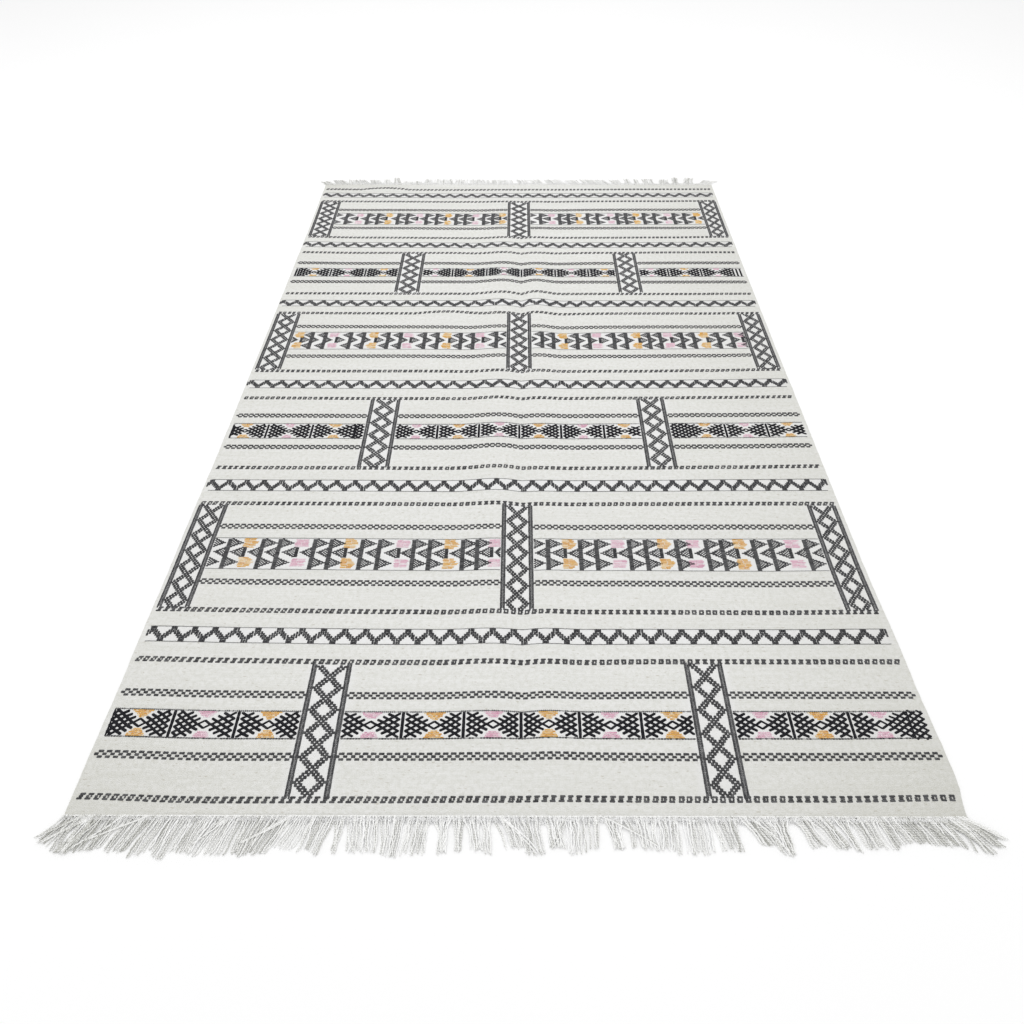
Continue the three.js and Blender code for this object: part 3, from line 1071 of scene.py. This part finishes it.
def lay_heading(name, outward, clumps):
    """The tangle of short fine fibres where the warp leaves the cloth."""
    left, right = half_widths(outward * CLOTH_LENGTH / 2)
    roots = uneven.uniform(2 - left, right - 2, FIBRES)
    middles, _, _, reach = clump_paths(roots, clumps)
    lean = np.degrees(np.arctan2(middles[1] - middles[0], reach))
    lean = np.radians(lean * 0.7 + uneven.normal(0, 38, FIBRES))
    length = uneven.uniform(4, 11, FIBRES)
    share = np.linspace(0, 1, FIBRE_RINGS)
    curl = uneven.normal(0, 1.8, FIBRES)[:, None] * np.sin(pi * share)
    x = roots[:, None] + (length * np.sin(lean))[:, None] * share + curl
    out = (length * np.abs(np.cos(lean)))[:, None] * share
    start = uneven.uniform(0, 4.5, FIBRES)[:, None]
    y = end_of(roots, outward)[:, None] + outward * (out + start)
    z = uneven.uniform(3.6, 4.8, FIBRES)[:, None] + 0.5 * np.sin(pi * share) - 0.9 * share**2
    radius = np.full((FIBRES, FIBRE_RINGS), FIBRE_RADIUS) * np.array([0.7, 1, 1, 0.5])
    # Painted shade: the fibres darken towards the rug's sides.
    tone = 1.0 - 0.7 * painted_shade_at_sides(roots)
    return strand_object(name, x, y, z, radius, 3, length, tone, 0.3)


CORD_TWIST = 11
CORD_STRAND_RADIUS = 0.8


def lay_end_cord(name, outward):
    """Two strands twisted round each other, which bind the last row of the cloth."""
    left, right = half_widths(outward * CLOTH_LENGTH / 2)
    path = np.arange(3 - left, right - 3, 2.2)
    turn = 2 * pi * path / CORD_TWIST + np.array([[0], [pi]])
    x = np.broadcast_to(path, turn.shape) + 0.4 * np.sin(path / 23)
    y = end_of(x, outward) - outward * 0.6 + 0.7 * np.cos(turn)
    z = 3.2 + 0.5 * np.sin(turn)
    radius = np.full(turn.shape, CORD_STRAND_RADIUS)
    return strand_object(name, x, y, z, radius, 5, np.full(2, left + right), 0.2, 0.1)


# The cloth

GRID_ROWS = 201
RIM = 1


def woven_rows():
    """Places along the rug of the rows of the cloth's grid, close together at the band edges."""
    rows = list(np.linspace(-CLOTH_LENGTH / 2, CLOTH_LENGTH / 2, GRID_ROWS))
    for band in SECTIONS + ZIGZAGS:
        for edge in (band["top"], band["bottom"]):
            rows = [row for row in rows if abs(row - edge) > 4]
            rows += [edge - 1.5, edge + 1.5]
    return np.array(sorted(rows))


def cross_stations():
    """Places across the rug of the columns of the cloth's grid, close together on the ridges."""
    left_foot, right_foot = CREASE_X - RIDGE_LEFT["width"], CREASE_X + RIDGE_RIGHT["width"]
    turns = [-HALF_WIDTH, left_foot, CREASE_X, right_foot, HALF_WIDTH]
    stations = [float(turns[0])]
    for start, end, steps in zip(turns[:-1], turns[1:], (34, 30, 24, 34)):
        stations += list(np.linspace(start, end, steps + 1)[1:])
    return np.array(stations)


def tint_and_painted_shade_at(x, y):
    """How much the cloth is darkened and tinted yellow: partly yellowed wool, partly painted
    shade, more at the sides, the near end and corners.
    """
    side = np.clip((np.abs(x) - 250) / 550, 0, 1) ** 1.3
    near = np.clip((-950 - y) / 350, 0, 1) ** 1.5
    far = np.clip((y - 1200) / 100, 0, 1)
    at_side = side * np.where(x < 0, 4, 8.5)
    at_far_corner = far * side * np.where(x < 0, 12, 4)
    return (at_side + near * (4 + 6 * side) + at_far_corner) * 0.016


def band_ground_at(x, row):
    """1 where a band or a ladder of the pattern is woven, and 0 on the plain cloth."""
    ground = np.zeros(len(x))
    for section in SECTIONS:
        inside = (row < section["top"] + 0.1) & (row > section["bottom"] - 0.1)
        for start, end in fields(section, middle_and_half(section)[0]):
            ground[inside & (x > start - 6) & (x < end + 6)] = 1.0
        inside = (row < section["upper"]) & (row > section["lower"])
        for ladder in section["ladders"]:
            ground[inside & (np.abs(x - middle_of(ladder, row)) < ladder["half"] + 5)] = 1.0
    return ground


def weave_cloth():
    """The cloth: a grid laid on the crease and ridges, then made as thick as the wool."""
    rows, stations = woven_rows(), cross_stations()
    bpy.ops.mesh.primitive_grid_add(
        x_subdivisions=len(stations) - 1, y_subdivisions=len(rows) - 1, size=2
    )
    cloth = bpy.context.active_object
    cloth.name = cloth.data.name = "woven_cloth"
    corners = corners_of(cloth.data)
    column_of = np.rint((corners[:, 0] + 1) / 2 * (len(stations) - 1)).astype(int)
    row_of = np.rint((corners[:, 1] + 1) / 2 * (len(rows) - 1)).astype(int)
    row, station = rows[row_of], stations[column_of]
    edge = np.where(station < 0, edge_at(row, "left"), edge_at(row, "right"))
    x = station * edge / HALF_WIDTH
    at_rim = np.abs(station) > HALF_WIDTH - RIM
    x = x + at_rim * uneven.normal(0, 0.35, len(x))
    at_end = np.abs(row) > CLOTH_LENGTH / 2 - RIM
    y = np.where(at_end, end_of(x, np.sign(row)), bowed(x, row))
    place_corners(cloth.data, np.stack([x, y, top_at(x, y)], axis=1) * MM)

    ground = band_ground_at(x, row)
    for band in ZIGZAGS:
        inside = (row < band["top"] + 0.1) & (row > band["bottom"] - 0.1)
        ground[inside & (np.abs(station) < ZIGZAG_REACH)] = 1.0
    add_values(cloth.data, "band_ground", ground)
    # Darker, yellower cloth at the sides, the near end and corners: partly yellowed wool, partly
    # painted shade.
    add_values(cloth.data, "tint_and_painted_shade", tint_and_painted_shade_at(x, row))

    layer = cloth.data.uv_layers.active or cloth.data.uv_layers.new(name="weave")
    layer.name = "weave"
    loops = np.empty(len(cloth.data.loops), np.int32)
    cloth.data.loops.foreach_get("vertex_index", loops)
    weave_map = np.stack([x, row], axis=1)[loops] * MM
    layer.data.foreach_set("uv", weave_map.ravel())

    select_only(cloth)
    solidify = cloth.modifiers.new("thickness", "SOLIDIFY")
    solidify.thickness = CLOTH_THICKNESS * MM
    solidify.offset = -1
    bpy.ops.object.modifier_apply(modifier=solidify.name)
    cloth.data.shade_smooth()
    bpy.ops.object.shade_smooth_by_angle(angle=radians(50))
    return cloth


# Materials

def linear(red, green, blue):
    """A colour given in screen values from 0 to 255."""
    scaled = np.array([red, green, blue]) / 255
    low = scaled / 12.92
    high = ((scaled + 0.055) / 1.055) ** 2.4
    return (*np.where(scaled <= 0.04045, low, high), 1.0)


class Finish:
    """A matt material, with short names for the nodes that these finishes need."""

    def __init__(self, name, roughness):
        self.material = bpy.data.materials.new(name)
        self.material.use_nodes = True
        self.nodes = self.material.node_tree.nodes
        self.links = self.material.node_tree.links
        self.shader = self.nodes["Principled BSDF"]
        self.shader.inputs["Roughness"].default_value = roughness
        self.shader.inputs["Specular IOR Level"].default_value = 0.1

    def feed(self, socket, value):
        """A socket takes a plain value as its own, and anything else as a link."""
        if isinstance(value, (tuple, float, int)):
            socket.default_value = value
        else:
            self.links.new(value, socket)

    def node(self, kind, settings, *inputs):
        """A new node with its settings, and with values or links for its first inputs."""
        node = self.nodes.new("ShaderNode" + kind)
        for name, value in settings.items():
            setattr(node, name, value)
        for socket, value in zip(node.inputs, inputs):
            self.feed(socket, value)
        return node

    def calc(self, operation, first, *second):
        return self.node("Math", {"operation": operation}, first, *second).outputs[0]

    def add(self, first, second, weight=None):
        """The sum of two values. The second may have a weight."""
        if weight is not None:
            second = self.calc("MULTIPLY", second, weight)
        return self.calc("ADD", first, second)

    def attribute(self, name):
        return self.node("Attribute", {"attribute_name": name}).outputs["Fac"]

    def map_of(self, name):
        """A map on the piece: its vector, and its two directions on their own."""
        vector = self.node("UVMap", {"uv_map": name}).outputs[0]
        split = self.node("SeparateXYZ", {}, vector)
        return vector, split.outputs[0], split.outputs[1]

    def noise(self, vector, scale, detail=2.0, stretch=(1, 1, 1)):
        mapping = self.node("Mapping", {}, vector)
        mapping.inputs["Scale"].default_value = stretch
        noise = self.node("TexNoise", {})
        self.feed(noise.inputs["Vector"], mapping.outputs[0])
        self.feed(noise.inputs["Scale"], scale)
        self.feed(noise.inputs["Detail"], detail)
        return noise.outputs["Fac"]

    def mix(self, factor, first, second):
        mix = self.node("Mix", {"data_type": "RGBA"})
        for place, value in ((0, factor), (6, first), (7, second)):
            self.feed(mix.inputs[place], value)
        return mix.outputs[2]

    def ramp(self, value, stops):
        """Greys between stops, each a place and how light it is."""
        node = self.node("ValToRGB", {}, value)
        elements = node.color_ramp.elements
        while len(elements) < len(stops):
            elements.new(0.5)
        for element, (position, grey) in zip(elements, stops):
            element.position = position
            element.color = (grey, grey, grey, 1)
        return node.outputs[0]

    def clamped(self, value, end):
        """0 to 1 as the value goes from 0 to its end."""
        node = self.node("MapRange", {})
        node.inputs["From Min"].default_value = 0.0
        node.inputs["From Max"].default_value = end
        self.links.new(value, node.inputs["Value"])
        return node.outputs[0]

    def complete(self, colour, relief=None, distance=0.0, strength=0.0):
        """The material with its colour, and with its relief where there is one."""
        self.links.new(colour, self.shader.inputs["Base Color"])
        if relief is not None:
            bump = self.node("Bump", {})
            self.feed(bump.inputs["Distance"], distance)
            self.feed(bump.inputs["Strength"], strength)
            self.links.new(relief, bump.inputs["Height"])
            self.links.new(bump.outputs[0], self.shader.inputs["Normal"])
        return self.material


WEFT_PITCH = 1.7
WARP_PITCH = 3.8


def cloth_material():
    """Natural white wool in plain weave: weft rows over hidden warps, with faint streaks."""
    wool = Finish("natural_white_weave", 0.95)
    weave, across, along = wool.map_of("weave")
    warp = wool.calc("SINE", wool.calc("MULTIPLY", across, pi / (WARP_PITCH * MM)))
    weft = wool.calc("SINE", wool.calc("MULTIPLY", along, pi / (WEFT_PITCH * MM)))
    plain = wool.calc("MULTIPLY", warp, weft)
    rows = wool.calc("ABSOLUTE", weft)
    relief = wool.add(wool.calc("MULTIPLY", plain, 0.5), rows)

    streaks = wool.noise(weave, 1.0, 3.0, (9, 420, 1))
    bands = wool.noise(weave, 1.0, 2.0, (2, 38, 1))
    mottle = wool.noise(weave, 110.0, 3.0)
    grain = wool.noise(weave, 520.0, 2.0)
    slubs = wool.noise(weave, 1.0, 1.0, (70, 420, 1))
    flecks = wool.noise(weave, 1.0, 0.0, (95, 260, 1))
    slub_spots = wool.ramp(slubs, [(0.66, 0.0), (0.76, 1.0)])
    for value, weight in ((slub_spots, 0.9), (streaks, 1.2), (grain, 0.9)):
        relief = wool.add(relief, value, weight)

    shade = linear(229, 229, 226)
    for value, stops, colour in (
        (bands, [(0.38, 0.0), (0.65, 0.8)], (221, 221, 216)),
        (streaks, [(0.4, 0.0), (0.72, 0.9)], (238, 238, 236)),
        (mottle, [(0.42, 0.0), (0.62, 0.8)], (219, 219, 213)),
        (grain, [(0.5, 0.0), (0.7, 0.8)], (241, 241, 239)),
        # Painted shade: darker grey in the valleys between the weft rows.
        (rows, [(0.0, 0.4), (0.45, 0.0)], (196, 196, 190)),
        (slub_spots, [(0.0, 0.0), (1.0, 0.5)], (243, 243, 241)),
        (flecks, [(0.73, 0.0), (0.8, 0.55)], (190, 184, 172)),
        (wool.attribute("band_ground"), [(0.0, 0.0), (1.0, 0.6)], (240, 240, 241)),
    ):
        shade = wool.mix(wool.ramp(value, stops), shade, linear(*colour))
    # Mixed towards a yellow grey at the sides, the near end and corners: partly yellowed wool,
    # partly painted shade.
    shade = wool.mix(wool.attribute("tint_and_painted_shade"), shade, linear(150, 148, 128))
    return wool.complete(shade, relief, 0.0005, 0.6)


def yarn_material(name, dark, mid, light, twist=42.0, depth=0.12):
    """Wool yarn with a twist, a little lighter or darker from strand to strand. Depth sets the
    painted shade in the grooves of the twist.
    """
    yarn = Finish(name, 0.9)
    tone = yarn.attribute("tone")
    vector, along, around = yarn.map_of("yarn")
    ply = yarn.calc("SINE", yarn.add(yarn.calc("MULTIPLY", along, twist), around, 6.28))
    flecks = yarn.noise(vector, 4.0)
    # Painted shade: the ply stripes darken the yarn in the grooves of its twist.
    shade = yarn.add(tone, ply, depth)
    shade = yarn.add(shade, yarn.calc("SUBTRACT", flecks, 0.5), 0.7)
    lighter = yarn.mix(yarn.clamped(shade, 1.0), linear(*mid), linear(*light))
    colour = yarn.mix(yarn.clamped(shade, -1.0), lighter, linear(*dark))
    return yarn.complete(colour, ply, 0.0003, 0.5)


def floor_material():
    paint = Finish("pale_floor", 0.9)
    place = paint.node("TexCoord", {}).outputs["Object"]
    mottle = paint.noise(place, 0.7)
    return paint.complete(paint.mix(mottle, linear(250, 250, 250), linear(252, 252, 252)))


# Camera

CAMERA_PLACE = (0.0026, -1.8036, 1.3507)
CAMERA_PITCH, CAMERA_YAW, CAMERA_ROLL = 47.11, 0.55, -0.22

camera = new_object("camera", bpy.data.cameras.new("camera"))
bpy.context.scene.camera = camera
camera.data.sensor_width = 36
camera.data.lens = 26.3
camera.data.clip_end = 60
camera.matrix_world = (
    Matrix.Translation(CAMERA_PLACE)
    @ Matrix.Rotation(radians(CAMERA_YAW), 4, "Z")
    @ Matrix.Rotation(radians(90 - CAMERA_PITCH), 4, "X")
    @ Matrix.Rotation(radians(CAMERA_ROLL), 4, "Z")
)

# The rug

cloth = weave_cloth()
cloth.data.materials.clear()
cloth.data.materials.append(cloth_material())

charcoal = yarn_material("charcoal_yarn", (50, 50, 52), (74, 74, 76), (134, 134, 135))
coal = yarn_material("near_black_yarn", (22, 22, 26), (36, 36, 40), (76, 76, 80))
ochre = yarn_material("ochre_yarn", (224, 158, 58), (238, 188, 98), (251, 237, 208))
pink = yarn_material("pink_yarn", (226, 160, 190), (240, 196, 213), (249, 234, 240))
# The warp yarn has deeper painted shade in the grooves of its twist.
warp_yarn = yarn_material("warp_yarn", (190, 190, 184), (248, 248, 246), (255, 255, 255),
                          twist=14.0, depth=0.35)

floats = chart_pattern()
yarn_pieces = []
for name, material in (
    ("dotted_lines", charcoal),
    ("chain_lines", charcoal),
    ("zigzag_bands", charcoal),
    ("ladder_bars", charcoal),
    ("ladder_strands", charcoal),
    ("comb_bands", charcoal),
    ("lattice_bands", coal),
    ("band_threads", charcoal),
    ("ochre_floats", ochre),
    ("pink_floats", pink),
):
    piece = lay_floats(name, floats[name])
    piece.data.materials.append(material)
    yarn_pieces.append(piece)

front = lay_fringe("front_strands", -1, FRONT_CLUMPS, CROSSINGS)
back = lay_fringe("back_strands", 1, BACK_CLUMPS, [])
fringes = [
    front,
    lay_heading("front_heading", -1, FRONT_CLUMPS),
    lay_end_cord("front_cord", -1),
    back,
    lay_heading("back_heading", 1, BACK_CLUMPS),
    lay_end_cord("back_cord", 1),
]
for piece in fringes:
    piece.data.materials.append(warp_yarn)
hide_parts("fringe_front")
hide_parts("fringe_back")
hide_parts("kilim_cloth")

for piece in [cloth, *yarn_pieces, *fringes]:
    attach(piece, "root")

# Floor and light

bpy.ops.object.select_all(action="DESELECT")
bpy.ops.mesh.primitive_plane_add(size=40, location=(0, 0, 0))
floor = bpy.context.active_object
floor.name = floor.data.name = "floor"
floor.data.materials.append(floor_material())

world = bpy.data.worlds.new("soft_daylight")
bpy.context.scene.world = world
world.use_nodes = True
sky = world.node_tree.nodes["Background"]
sky.inputs["Color"].default_value = (1, 1, 1, 1)
sky.inputs["Strength"].default_value = 0.88

softbox = bpy.data.lights.new("studio_softbox", "AREA")
softbox.shape = "RECTANGLE"
softbox.size = 6
softbox.size_y = 5
softbox.energy = 62
lamp = new_object("studio_softbox", softbox)
lamp.matrix_world = Matrix.Translation((-0.3, 1.2, 4.0)) @ Matrix.Rotation(radians(-4), 4, "Y")

view = bpy.context.scene.view_settings
view.view_transform = "Standard"
view.look = "None"
view.exposure = 0
view.gamma = 1
